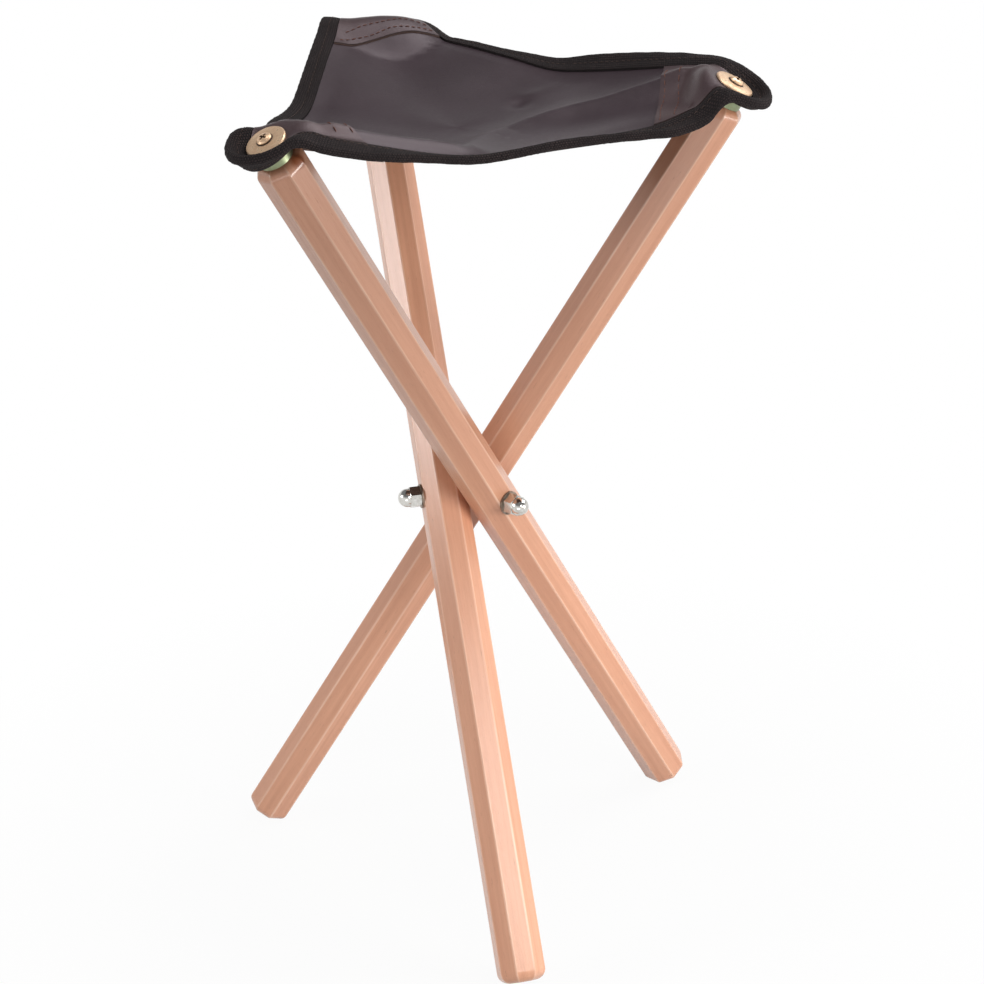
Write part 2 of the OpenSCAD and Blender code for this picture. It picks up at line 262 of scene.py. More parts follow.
def rounded_octagon(apothem, z):
    fillet = min(eased_edge, apothem * 0.5)
    points = []
    for corner in range(8):
        middle = math.radians(22.5 + 45 * corner)
        reach = (apothem - fillet) / math.cos(math.radians(22.5))
        for step in range(4):
            turn = middle + math.radians(-22.5 + 15 * step)
            points.append(
                (
                    reach * math.cos(middle) + fillet * math.cos(turn),
                    reach * math.sin(middle) + fillet * math.sin(turn),
                    z,
                )
            )
    return points


def octagonal_rod():
    steps = [math.radians(a) for a in range(0, 91, 10)]
    foot = [
        (leg_foot + end_round * (1 - math.cos(a)), end_round * (1 - math.sin(a)))
        for a in steps
    ]
    top = [
        (leg_top - end_round * (1 - math.cos(a)), end_round * (1 - math.sin(a)))
        for a in reversed(steps)
    ]
    straight = [(leg_foot + end_round, 0.0), (leg_top - end_round, 0.0)]
    shape = bmesh.new()
    rings = [
        [shape.verts.new(p) for p in rounded_octagon(leg_half - inset, z)]
        for z, inset in foot[:-1] + straight + top[1:]
    ]
    for low, high in zip(rings, rings[1:]):
        for n in range(len(low)):
            m = (n + 1) % len(low)
            shape.faces.new((low[n], low[m], high[m], high[n]))
    shape.faces.new(list(reversed(rings[0])))
    shape.faces.new(rings[-1])
    rod = bpy.data.meshes.new("leg_rod")
    shape.to_mesh(rod)
    shape.free()
    return rod


def bored(mesh, cutters):
    blank = placed("leg_blank", mesh)
    drills = []
    for radius, depth, place in cutters:
        shape = bmesh.new()
        bmesh.ops.create_cone(
            shape,
            cap_ends=True,
            segments=48,
            radius1=radius,
            radius2=radius,
            depth=depth,
            matrix=place,
        )
        drill = bpy.data.meshes.new("drill")
        shape.to_mesh(drill)
        shape.free()
        drills.append(placed("drill", drill))
        cut = blank.modifiers.new("bore", "BOOLEAN")
        cut.operation = "DIFFERENCE"
        cut.solver = "EXACT"
        cut.object = drills[-1]
    bpy.context.view_layer.update()
    made = bpy.data.meshes.new_from_object(
        blank.evaluated_get(bpy.context.evaluated_depsgraph_get())
    )
    for tool in [blank] + drills:
        bpy.data.objects.remove(tool)
    return made


def ease(shape, sharp):
    """Shades the faces smooth, and keeps the edges that turn by more than sharp."""
    for face in shape.faces:
        face.smooth = True
    for seam in shape.edges:
        seam.smooth = seam.calc_face_angle(0) < math.radians(sharp)


def mix(tree, factor, a, b):
    sockets = {"Factor": factor, 6: a, 7: b}
    return put(tree, "ShaderNodeMix", sockets, data_type="RGBA").outputs[2]


def finish_group(name, takes):
    """A group that takes the named sockets, and gives colour, roughness and height."""
    group = bpy.data.node_groups.new(name, "ShaderNodeTree")
    gives = {"Color": "Color", "Roughness": "Float", "Height": "Float"}
    for way, sockets in (("INPUT", takes), ("OUTPUT", gives)):
        for socket, kind in sockets.items():
            group.interface.new_socket(
                socket, in_out=way, socket_type=f"NodeSocket{kind}"
            )
    return group, put(group, "NodeGroupInput").outputs


def giving(group, colour, rough, height):
    put(group, "NodeGroupOutput", {"Color": colour, "Roughness": rough, "Height": height})
    return group


def shaded(tree, look, strength, distance, more):
    """Ends a material in one shader, with the colour, roughness and height in look."""
    relief = {"Strength": strength, "Distance": distance, "Height": look["Height"]}
    sockets = {
        "Base Color": look["Color"],
        "Roughness": look["Roughness"],
        "Normal": put(tree, "ShaderNodeBump", relief).outputs[0],
        **more,
    }
    shader = put(tree, "ShaderNodeBsdfPrincipled", sockets).outputs[0]
    put(tree, "ShaderNodeOutputMaterial", {"Surface": shader})


def beech_grain_group():
    takes = {"Place": "Vector", "Shift": "Float", "Painted_top_shade": "Float", "Stain": "Float"}
    group, given = finish_group("beech_grain", takes)

    def figure(across, along, detail, rough, low, high):
        """Marks in the wood, drawn out along the rod."""
        stretch = {"Vector": given["Place"], "Scale": (across, across, along)}
        sockets = {
            "Vector": put(group, "ShaderNodeMapping", stretch).outputs[0],
            "W": given["Shift"],
            "Scale": 1.0,
            "Detail": detail,
            "Roughness": rough,
        }
        marks = put(group, "ShaderNodeTexNoise", sockets, noise_dimensions="4D")
        return ranged(group, marks.outputs["Fac"], low, high)

    broad = figure(46, 2.2, 3, 0.5, 0.32, 0.68)
    streak = figure(300, 9, 6, 0.62, 0.34, 0.68)
    fleck = figure(1500, 190, 2, 0.5, 0.66, 0.76)
    pore = figure(2600, 130, 4, 0.7, 0.3, 0.7)
    colour = mix(group, broad, (0.76, 0.385, 0.240, 1), (0.63, 0.290, 0.172, 1))
    for mask, share, tint in (
        (streak, 0.55, (0.53, 0.230, 0.130, 1)),
        (fleck, 0.6, (0.36, 0.16, 0.09, 1)),
        (pore, 0.12, (0.93, 0.62, 0.45, 1)),
    ):
        colour = mix(group, ranged(group, mask, 0, 1, 0, share), colour, tint)
    # The eight eased edges are painted a little paler, partly as wear and partly as a painted
    # highlight, and the end grain is darker
    apart = put(group, "ShaderNodeSeparateXYZ", {0: given["Place"]}).outputs
    turn = maths(group, "ARCTAN2", apart["Y"], apart["X"])
    facing = maths(group, "COSINE", maths(group, "MULTIPLY", turn, 8.0))
    edge = ranged(group, facing, -1.0, -0.86, 1, 0)
    wear_and_highlight = maths(group, "MULTIPLY", edge, ranged(group, streak, 0, 1, 0.75, 0.2))
    colour = mix(group, wear_and_highlight, colour, (0.92, 0.62, 0.46, 1))
    top_end = ranged(group, apart["Z"], leg_top - 0.0035, leg_top - 0.0005)
    foot_end = ranged(group, apart["Z"], leg_foot + 0.0035, leg_foot + 0.0005)
    end = ranged(group, maths(group, "ADD", top_end, foot_end), 0, 1, 0, 0.6)
    colour = mix(group, end, colour, (0.50, 0.235, 0.13, 1))
    # Each rod's colour is scaled towards its top end, as painted shade under the seat
    painted_shade_scale = ranged(group, apart["Z"], shade_from, shade_to, 1.0, given["Painted_top_shade"])
    colour = put(
        group, "ShaderNodeVectorMath", {0: colour, "Scale": painted_shade_scale}, operation="SCALE"
    ).outputs[0]
    # The left rod has a drip of brown lacquer at its top, beside the collar
    from_drip = put(
        group, "ShaderNodeVectorMath", {0: given["Place"], 1: drip_at}, operation="DISTANCE"
    ).outputs["Value"]
    stained = ranged(group, from_drip, drip_r, drip_full_r, 0.0, given["Stain"])
    colour = mix(group, stained, colour, (0.21, 0.062, 0.022, 1))
    rough = ranged(group, streak, 0, 1, 0.36, 0.5)
    relief = maths(group, "ADD", maths(group, "MULTIPLY", streak, 0.5), pore)
    return giving(group, colour, rough, relief)


beech_grain = beech_grain_group()


def in_leg_frame(tree, side):
    """Where a point lies on its leg: across it, and along it from the stud."""
    frame_at = leg_frame(side)
    sockets = {
        "Vector": put(tree, "ShaderNodeTexCoord").outputs["Object"],
        "Location": frame_at.to_translation(),
        "Rotation": frame_at.to_euler("XYZ"),
    }
    return put(tree, "ShaderNodeMapping", sockets, vector_type="TEXTURE").outputs[0]


def beech(side, shift, painted_top_shade, stain):
    finish, tree = new_finish(f"beech_{side}")
    sockets = {
        "Place": in_leg_frame(tree, side),
        "Shift": shift,
        "Painted_top_shade": painted_top_shade,
        "Stain": stain,
    }
    grain = put(tree, "ShaderNodeGroup", sockets, node_tree=beech_grain).outputs
    lacquer = {"Specular IOR Level": 0.2, "Coat Weight": 0.7, "Coat Roughness": 0.18}
    shaded(tree, grain, 0.22, 0.0004, lacquer)
    return finish


stud_bore = (stud_bore_r, stud_bore_length, Matrix.Rotation(math.pi / 2, 4, "Y"))
sleeve_bore = (sleeve_bore_r, sleeve_bore_depth * 2, Matrix.Translation((0, 0, leg_top)))
for number, side in enumerate(stud_turns):
    rod = bored(octagonal_rod(), (stud_bore, sleeve_bore))
    shape = bmesh.new()
    shape.from_mesh(rod)
    ease(shape, rod_sharp)
    shape.to_mesh(rod)
    shape.free()
    rod.transform(leg_frame(side))
    rod.name = f"beech_leg_{side}"
    wood = beech(side, 1.7 + 2.3 * number, painted_top_shades[number], drip_stains[number])
    leg = new_piece(f"beech_leg_{side}", rod, wood)
    weighted = leg.modifiers.new("even_facets", "WEIGHTED_NORMAL")
    weighted.keep_sharp = True
    weighted.weight = 80
    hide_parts(f"leg_{side}")
    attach(leg, f"{side}_leg")

# Three-way bolt
# Three studs stand out of one short barrel of zinc-plated steel, hidden where the
# legs cross. A dark washer lies between each leg's outer face and its nut.


def noise(tree, point, scale, detail, rough=0.5):
    sockets = {"Vector": point, "Scale": scale, "Detail": detail, "Roughness": rough}
    return put(tree, "ShaderNodeTexNoise", sockets).outputs["Fac"]


def worn_metal_group():
    colours, amounts = ("Clean", "Dull"), ("Smooth", "Rough", "Fineness")
    takes = {**dict.fromkeys(colours, "Color"), **dict.fromkeys(amounts, "Float")}
    group, given = finish_group("worn_metal", takes)
    point = put(group, "ShaderNodeTexCoord").outputs["Object"]
    cloud = noise(group, point, given["Fineness"], 6.0, 0.65)
    patchy = ranged(group, cloud, 0.36, 0.68)
    tint = mix(group, patchy, given["Clean"], given["Dull"])
    rough = ranged(group, patchy, 0.0, 1.0, given["Smooth"], given["Rough"])
    scratch = noise(group, point, 3200.0, 3.0)
    return giving(group, tint, rough, scratch)


worn_metal = worn_metal_group()


def wear(tree, clean, dull, smoothest, roughest, fineness):
    sockets = {
        "Clean": (*clean, 1),
        "Dull": (*dull, 1),
        "Smooth": smoothest,
        "Rough": roughest,
        "Fineness": fineness,
    }
    return put(tree, "ShaderNodeGroup", sockets, node_tree=worn_metal).outputs


def plated(name, clean, dull, smoothest, roughest, fineness=260.0, relief=0.06):
    finish, tree = new_finish(name)
    look = wear(tree, clean, dull, smoothest, roughest, fineness)
    shaded(tree, look, relief, 0.0002, {"Metallic": 1.0})
    return finish


def dress(node, finish):
    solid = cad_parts[node]
    solid.data.materials.clear()
    solid.data.materials.append(finish)


zinc = plated("zinc_plate", (0.62, 0.63, 0.64), (0.42, 0.42, 0.41), 0.28, 0.5)
blackened = plated(
    "blackened_washer", (0.34, 0.27, 0.22), (0.17, 0.13, 0.10), 0.35, 0.6
)
dress("three_way_bolt", zinc)
for side in stud_turns:
    dress(f"pivot_washer_{side}", blackened)

# Acorn nuts
# Domed cap nuts of nickel-plated steel, screwed on the studs' ends to hold the
# legs on. They are polished, with faint handling marks on their flats.
nickel = plated(
    "nickel_plate", (0.70, 0.69, 0.66), (0.52, 0.50, 0.46), 0.10, 0.24, 420.0, 0.02
)
for side in stud_turns:
    dress(f"acorn_nut_{side}", nickel)

# Collars
# Turned steel collars with a threaded sleeve below, pressed in the legs' top ends.
# Their yellow passivated zinc has a greenish cast, with duller patches.
passivated = plated(
    "yellow_zinc", (0.25, 0.29, 0.18), (0.20, 0.21, 0.12), 0.30, 0.48, 180.0, 0.04
)
for side in stud_turns:
    dress(f"collar_{side}", passivated)

# Seat leather
# One piece of thick hide cut to a triangle with rounded corners. It is clamped on
# the three collars and hangs between them in a bowl with a crease and soft folds.
leather_t = 0.0022
layer_gap = 0.0002
clamp_low = 0.3218
corner_r = 0.0245
bind_w = 0.011
screw_hole_r = 0.0028
sag = 0.027
side_bows = np.array((0.007, 0.004, 0.004))
# At the left, right and back corner: how far round the screw the leather is held
# flat, from where it hangs free, and how far its tip curls up
flat_reach = np.array((0.0125, 0.0125, 0.022))
bend_reach = np.array((0.033, 0.032, 0.062))
tip_bend = 0.048
tip_curl = np.array((0.0095, 0.0065, 0.0095))
curl_from, curl_over = 0.0128, 0.012
corner_out = (clamp_low + leather_t / 2) * math.sin(lean)
corner_x = math.hypot(corner_out, arm_r)
pull_turns = [turn - 90 for turn in stud_turns.values()]
corner_turns = [
    turn + math.degrees(math.atan2(arm_r, corner_out)) for turn in pull_turns
]
tip_share = math.cos(lean / 2)
side_far = corner_x / 2 + corner_r * (tip_share / 4 + 0.75)
side_half = (corner_x + corner_r * tip_share / 2 - corner_r / 2) * math.sqrt(0.75)
corner_z = clamp_low / math.cos(lean) - corner_out * math.tan(lean)

# Places on the edge are counted in stations, 60 once round. The tips of the left,
# right and back corners are at 0, 20 and 40, and a corner is round for 4 each way
once_round = 60
per_side = 20
half_side = 10
round_half = 4


def unit(degrees):
    return np.array((math.cos(math.radians(degrees)), math.sin(math.radians(degrees))))


def smooth(x):
    held = np.clip(x, 0, 1)
    return held * held * (3 - 2 * held)


pulls = np.array([unit(turn) for turn in pull_turns])
corners = np.array([corner_x * unit(turn) for turn in corner_turns])


def sector_of(j):
    return np.floor(((j + half_side) % once_round) / per_side).astype(int)


def outline(j, inset):
    """The flat point at each station, that inset in from the leather's cut edge."""
    j = np.asarray(j, float)
    k = sector_of(j)
    s = (j + half_side) % per_side - half_side
    a = np.abs(s)
    bow = np.where(s >= 0, side_bows[k], side_bows[(k + 2) % 3])
    turn = np.radians(60 / round_half * a)
    round_x = corner_x + (corner_r - inset) * tip_share * np.cos(turn)
    round_y = (corner_r - inset) * np.sin(turn)
    along = 1 - (a - round_half) / (half_side - round_half)
    away = side_far - bow * (1 - along**2) - inset
    side_x = away * 0.5 + side_half * along * math.sqrt(0.75)
    side_y = away * math.sqrt(0.75) - side_half * along * 0.5
    x = np.where(a <= round_half, round_x, side_x)
    y = np.where(a <= round_half, round_y, side_y) * np.sign(s)
    faced = np.radians(np.array(corner_turns)[k])
    return np.stack(
        (x * np.cos(faced) - y * np.sin(faced), x * np.sin(faced) + y * np.cos(faced)),
        -1,
    )


# How high the rim runs over the screws, in mm: round each corner, and along the
# side from that corner to the next
round_corners = ((4, 4, 6, 7, 1), (-7, -3, 2, 3, 6), (22, 40, 44, 42, 38))
along_sides = (
    (6, -3.5, -10, -14, -19, -19, -15.5, -15.5, -17, -17.5, -0.5),
    (11, 11, 9, 6, 2, -5, -3, -2, -0.5, -0.5, 8),
    (29, 21.5, 13, 6, -3, -13, -12, -9.5, -11, -8.5, -3),
)
rim_at, rim_mm = [], []
for k in range(3):
    rim_at += list(per_side * k + np.linspace(-round_half, round_half, 5))
    rim_at += list(per_side * k + np.arange(round_half + 1, per_side - round_half))
    rim_mm += round_corners[k] + along_sides[k]
tenths = np.arange(once_round * 10) / 10


def evened(values):
    """Values at every tenth of a station, once round, with their kinks eased."""
    count = len(tenths)
    steps_off = (np.arange(count) + count // 2) % count - count // 2
    near = np.exp(-((steps_off / 5.0) ** 2))
    return np.fft.irfft(np.fft.rfft(values) * np.fft.rfft(near / near.sum()), count)


rim_eased = evened(np.interp(tenths, rim_at, rim_mm, period=once_round))


def rim_z(j):
    return corner_z + np.interp(j, tenths, rim_eased, period=once_round) / 1000


def turns_along(js, inset, k):
    """The stations' directions from the middle, with no jump at a half turn."""
    edge = outline(js, inset)
    turns = np.unwrap(np.arctan2(edge[:, 1], edge[:, 0]))
    tip = np.argmin(np.abs(js - per_side * k))
    off = turns[tip] - math.radians(corner_turns[k])
    return turns - math.tau * round(off / math.tau)


fine_j = np.linspace(-half_side, once_round - half_side, 6001)
fine_turn = turns_along(fine_j, bind_w, 0)


def station_at(p):
    turn = np.arctan2(p[..., 1], p[..., 0])
    turn = (turn - fine_turn[0]) % math.tau + fine_turn[0]
    return np.interp(turn, fine_turn, fine_j)


# Close to its edge the leather turns down in places, as by the left corner, and up
# in others, most on the right side. These are stations, and how far down in mm
turned_at = (
    2, 3, 4, 5, 6, 7, 8, 9, 10, 11, 12, 13, 14, 15, 16, 22, 23, 24, 25, 26, 27,
    29, 30, 31, 32, 33, 34, 35, 37, 43, 45, 46, 48, 49, 51, 52,
)
turned_by = (
    0, 2, 3, 5, 5, 2, -2, -4, -3, 0, -4, -4, -1, 1, 0, 2, 6, 8, 4, -5, -10,
    -10, -5, 2, 6, 5, 1, -6, -7, -7, -7, -5, 0, -6, -6, 0,
)
turned_reach = 0.021
turned_eased = evened(np.interp(tenths, turned_at, turned_by, period=once_round))
edge_outs = np.array([unit(turn + 60) for turn in corner_turns])
edge_runs = np.array([unit(turn - 30) for turn in corner_turns])


def turned_down(j):
    return np.interp(j, tenths, turned_eased, period=once_round) / 1000


def edge_inset(p, j):
    """How far a flat point lies in from the nearest side of the leather."""
    k = sector_of(j)
    side = np.where((j + half_side) % per_side - half_side >= 0, k, (k + 2) % 3)
    along = np.einsum("...i,...i->...", p, edge_runs[side]) / side_half
    away = np.einsum("...i,...i->...", p, edge_outs[side])
    return side_far - side_bows[side] * (1 - along**2) - away


# Further in, the rim's ups and downs die out towards the middle, as they do over any
# stretched skin: each is a sum of waves round the middle, and the finest die first
ring_count, wave_count, near_count = 720, 60, 5
ring_turns = np.linspace(0, math.tau, ring_count, endpoint=False)
ring_j = station_at(np.stack((np.cos(ring_turns), np.sin(ring_turns)), -1))
ring_waves = np.fft.rfft(rim_z(ring_j) + turned_down(ring_j)) / ring_count
wave_terms = np.append(2 * ring_waves[wave_count:0:-1], 0)
mean_rim = ring_waves[0].real
ring_near = np.fft.rfft(1 / np.linalg.norm(outline(ring_j, 0), axis=-1)) / ring_count
near_terms = np.append(2 * ring_near[near_count:0:-1], ring_near[0])

# A crease runs in from the right corner and turns to the front past the small
# pucker, and a lip runs on from its end to the left corner. Places are in mm
crease_path = np.array(
    (
        (150, -54), (134, -42), (118, -34), (102, -27), (86, -21), (70, -15), (55, -15),
        (40, -16), (25, -22), (12, -32), (2, -45), (-6, -59), (-12, -75),
    )
) / 1000
crease_heights = np.array((8, 11, 9.5, 8.5, 7, 6, 5.5, 4, 3, 5, 6, 5.5, 5)) / 1000
lip_path = np.array(
    (
        (-128, -99), (-113, -98), (-99, -95), (-86, -92), (-72, -90),
        (-59, -88), (-48, -86), (-37, -84), (-25, -83), (-12, -78),
    )
) / 1000
lip_heights = np.array((6, 11, 12.5, 10.5, 9, 8.5, 8.5, 8.5, 7.5, 4.5)) / 1000
pucker_at = np.array((0.046, 0.021))
pucker_r, pucker_depth = 0.0070, 0.0022
welt_path = pucker_at + np.array(((10, 8), (34, 16))) / 1000
welt_heights = (0.0011, 0.0002)
fold_inset, fold_fade = 0.009, 0.013
crest_round = 0.0014


def ridge(p, path, heights, broad, keen):
    """The height of a fold along a path: a broad swell with a keener crest on it."""
    nearest = np.full(p.shape[:-1], 1.0)
    high = np.zeros(p.shape[:-1])
    for a, b, high_a, high_b in zip(path, path[1:], heights, heights[1:]):
        t = np.clip((p - a) @ (b - a) / ((b - a) @ (b - a)), 0, 1)
        d = np.linalg.norm(p - a - t[..., None] * (b - a), axis=-1)
        high = np.where(d < nearest, high_a + (high_b - high_a) * t, high)
        nearest = np.minimum(d, nearest)
    crest = np.exp(-(np.sqrt(nearest**2 + crest_round**2) - crest_round) / keen)
    return high * (0.55 * np.exp(-((nearest / broad) ** 2)) + 0.45 * crest)


def folds(p, j):
    pit = np.exp(-((np.linalg.norm(p - pucker_at, axis=-1) / pucker_r) ** 2))
    welt = ridge(p, welt_path, welt_heights, 0.008, 0.005)
    creased = ridge(p, crease_path, crease_heights, 0.016, 0.007)
    lipped = ridge(p, lip_path, lip_heights, 0.014, 0.008)
    inside = smooth((edge_inset(p, j) - fold_inset) / fold_fade)
    return (creased**4 + lipped**4) ** 0.25 * inside + welt - pucker_depth * pit


def ripples(p):
    x, y = p[..., 0] * 1000, p[..., 1] * 1000
    return 0.0003 * (
        np.sin(x / 13.3 + 1.3 * np.sin(y / 17.1))
        + np.sin(y / 11.7 + 1.1 * np.sin(x / 21.7) + 2.1)
        + 0.8 * np.sin((x + y) / 19.9 + 0.7)
    )


def held_flat(p, k):
    """How far out a point lies, how far from the screw, and how flat it is held."""
    out = np.einsum("...i,...i->...", p, pulls[k])
    reach = np.linalg.norm(p - corners[k], axis=-1)
    outward = (out - corner_out) / np.maximum(reach, 0.001)
    bend = bend_reach[k] + (tip_bend - bend_reach[k]) * smooth(0.5 + outward)
    held = 1 - smooth((reach - flat_reach[k]) / (bend - flat_reach[k]))
    return out, reach, outward, held


def under_z(p):
    """The height of the leather's underside over flat points."""
    p = np.asarray(p, float)
    j = station_at(p)
    k = sector_of(j)
    reach = np.linalg.norm(p, axis=-1)
    share = np.minimum(reach / np.linalg.norm(outline(j, 0), axis=-1), 1)
    turn = np.arctan2(p[..., 1], p[..., 0])
    rounder = reach * np.polyval(near_terms, np.exp(1j * turn)).real
    share = share * share**2 + np.minimum(rounder, 1) * (1 - share**2)
    waves = np.polyval(wave_terms, share**0.8 * np.exp(1j * turn)).real
    soft_end = 0.1
    rise = ((share**2 + soft_end**2) ** 0.8 - soft_end**1.6) / (
        (1 + soft_end**2) ** 0.8 - soft_end**1.6
    )
    low = corner_z - sag
    bowl = low + (mean_rim - low) * rise + waves + folds(p, j) + ripples(p)
    hanging = np.clip(1 - edge_inset(p, j) / turned_reach, 0, 1) ** 1.5
    bowl -= turned_down(j) * hanging
    out, reach, outward, held = held_flat(p, k)
    curled = smooth((reach - curl_from) / curl_over) * smooth(0.75 + outward)
    clamped = clamp_low / math.cos(lean) - out * math.tan(lean) + tip_curl[k] * curled
    return pivot_z + bowl * (1 - held) + clamped * held


def layer_z(p, lift):
    """The height of a layer over flat points, lifted square to where it is clamped."""
    held = held_flat(p, sector_of(station_at(p)))[3]
    return under_z(p) + lift * (1 + (1 / math.cos(lean) - 1) * held)


def layer_normal(p, lift):
    step = 0.0004
    dx = layer_z(p + (step, 0), lift) - layer_z(p - (step, 0), lift)
    dy = layer_z(p + (0, step), lift) - layer_z(p - (0, step), lift)
    n = np.stack((-dx, -dy, np.full(dx.shape, 2 * step)), -1)
    return n / np.linalg.norm(n, axis=-1)[..., None]


def smooth_mesh(name, points, faces):
    mesh = bpy.data.meshes.new(name)
    mesh.from_pydata(points.tolist(), [], faces)
    mesh.polygons.foreach_set("use_smooth", [True] * len(faces))
    mesh.update()
    return mesh


def shell(name, flat, faces, rim_loops, low_lift, high_lift, *finishes):
    """A layer over the flat points: a top, an underside, and walls along its rims."""
    count = len(flat)
    top = np.column_stack((flat, layer_z(flat, high_lift)))
    low = np.column_stack((flat, layer_z(flat, low_lift)))
    every = [list(f) for f in faces] + [[v + count for v in reversed(f)] for f in faces]
    surface_faces = len(every)
    for loop in rim_loops:
        for a, b in zip(loop, loop[1:] + loop[:1]):
            every.append([b, a, a + count, b + count])
    mesh = smooth_mesh(name, np.vstack((top, low)), every)
    up, down = layer_normal(flat, high_lift), -layer_normal(flat, low_lift)
    rest = np.vstack((up, down))
    normals = np.zeros((len(mesh.loops), 3))
    for polygon in mesh.polygons:
        wall = polygon.index >= surface_faces
        if wall and len(finishes) > 1:
            polygon.material_index = 1
        for n in polygon.loop_indices:
            normals[n] = polygon.normal if wall else rest[mesh.loops[n].vertex_index]
    mesh.normals_split_custom_set(normals.tolist())
    mark = mesh.attributes.new("flesh_side", "FLOAT", "POINT")
    mark.data.foreach_set("value", [0.0] * count + [1.0] * count)
    return new_piece(name, mesh, *finishes)


def hide_grain_group():
    group, given = finish_group("hide_grain", {"Hair_side": "Color", "Worn": "Color"})
    point = put(group, "ShaderNodeTexCoord").outputs["Object"]
    sockets = {"Vector": point, "Scale": 900.0, "Randomness": 1.0}
    pebble = put(group, "ShaderNodeTexVoronoi", sockets, feature="DISTANCE_TO_EDGE")
    cells = ranged(group, pebble.outputs["Distance"], 0.0, 0.22)
    creased = noise(group, point, 420.0, 5.0, 0.6)
    worn = ranged(group, noise(group, point, 22.0, 4.0, 0.55), 0.42, 0.7)
    hair = mix(group, worn, given["Hair_side"], given["Worn"])
    # The underside is the hide's flesh side, which is browner and matt
    flesh = put(group, "ShaderNodeAttribute", attribute_name="flesh_side").outputs["Fac"]
    colour = mix(group, flesh, hair, (0.105, 0.062, 0.045, 1))
    satin = ranged(group, creased, 0.0, 1.0, 0.36, 0.50)
    rough = ranged(group, flesh, 0.0, 1.0, satin, 0.85)
    return giving(group, colour, rough, maths(group, "ADD", cells, creased))


hide_grain = hide_grain_group()


def hide(name, hair_side, worn):
    finish, tree = new_finish(name)
    sockets = {"Hair_side": (*hair_side, 1), "Worn": (*worn, 1)}
    grain = put(tree, "ShaderNodeGroup", sockets, node_tree=hide_grain).outputs
    waxed = {"Specular IOR Level": 0.5, "Specular Tint": (1.0, 0.84, 0.90, 1)}
    shaded(tree, grain, 0.16, 0.0003, waxed)
    return finish


seat_hide = hide("seat_hide", (0.025, 0.015, 0.019), (0.034, 0.022, 0.027))

# When the stool folds, the middle rises clear of the screws, the middles of the
# sides stay by the bolt, and each corner turns in with its leg. These are distances
# from the middle, towards a corner, for those bends. The pieces are not bent here,
# and only the middle zone's reach is taken from them
middle_bend = (0.034, 0.050)
corner_bend = (0.075, 0.160)
middle_reach = middle_bend[1]
middle_rows = 22
base_steps = np.linspace(-1, 1, 49)
fan_spread = math.tan(math.radians(60))


def bend(piece, k, bodies, reaches, node, slot):
    """Bakes the piece's place into its mesh and hides its CAD part. It does not bend the
    piece: k, bodies, reaches and slot are not used.
    """
    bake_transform(piece)
    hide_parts(node)


def fan_row(k, reach, steps):
    out = pulls[k]
    left_of = np.array((-out[1], out[0]))
    return [out * reach + left_of * (reach * fan_spread * b) for b in steps]


def fan(k):
    """The middle zone towards corner k: rows that widen from the middle outwards."""
    flat = [np.zeros(2)]
    for row in range(1, middle_rows + 1):
        flat += fan_row(k, middle_reach * row / middle_rows, base_steps)
    wide = len(base_steps)
    faces = [(0, 1 + c, 2 + c) for c in range(wide - 1)]
    for row in range(middle_rows - 1):
        for c in range(wide - 1):
            a = 1 + row * wide + c
            faces.append((a, a + wide, a + wide + 1, a + 1))
    last = 1 + (middle_rows - 1) * wide
    loop = (
        [0]
        + [1 + row * wide for row in range(middle_rows)]
        + [last + c for c in range(1, wide)]
        + [1 + row * wide + wide - 1 for row in range(middle_rows - 2, -1, -1)]
    )
    return np.array(flat), faces, [loop]


def stations(k, first, last, along, around):
    """Stations past corner k, with so many along each side and around the corner."""
    before, after = per_side * k - round_half, per_side * k + round_half
    return np.concatenate(
        (
            np.linspace(first, before, along)[:-1],
            np.linspace(before, after, around)[:-1],
            np.linspace(after, last, along),
        )
    )


def corner_border(k):
    """Corner k's zone once round, its line to the middle first, and its edge's stations."""
    base = fan_row(k, middle_reach, base_steps[::-1])
    span = per_side * k + np.linspace(-13, 13, 2601)
    span_turn = turns_along(span, 0, k)
    first, last = (
        np.interp(math.radians(pull_turns[k] + turn), span_turn, span)
        for turn in (-60, 60)
    )
    edge_js = stations(k, first, last, 40, 41)
    edge = list(outline(edge_js, 0))
    border = base + [base[-1] + (edge[0] - base[-1]) * 0.5] + edge
    border += [edge[-1] + (base[0] - edge[-1]) * 0.5]
    return np.array(border), edge_js


def ringed(border, k, shares):
    """Rings from the screw's hole out to the border, their faces, and both rims."""
    away = border - corners[k]
    hole = corners[k] + away / np.linalg.norm(away, axis=1)[:, None] * screw_hole_r
    flat = np.vstack([hole + (border - hole) * share for share in shares])
    count = len(border)
    faces = []
    for ring in range(len(shares) - 1):
        for n in range(count):
            a, b = ring * count + n, ring * count + (n + 1) % count
            faces.append((a, a + count, b + count, b))
    outer = [(len(shares) - 1) * count + n for n in range(count)]
    return flat, faces, [outer, list(range(count - 1, -1, -1))]


corner_zones, edge_stations = [], []
for k, side in enumerate(stud_turns):
    middle = shell(f"seat_leather_middle_{side}", *fan(k), 0, leather_t, seat_hide)
    border, edge_js = corner_border(k)
    rings = ringed(border, k, np.linspace(0, 1, 30) ** 1.25)
    zone = shell(f"seat_leather_corner_{side}", *rings, 0, leather_t, seat_hide)
    bend(middle, k, ("seat", "hub"), middle_bend, "seat_panel", "leather")
    bend(zone, k, ("hub", f"{side}_leg"), corner_bend, "seat_panel", "leather")
    corner_zones.append(zone)
    edge_stations.append(edge_js)

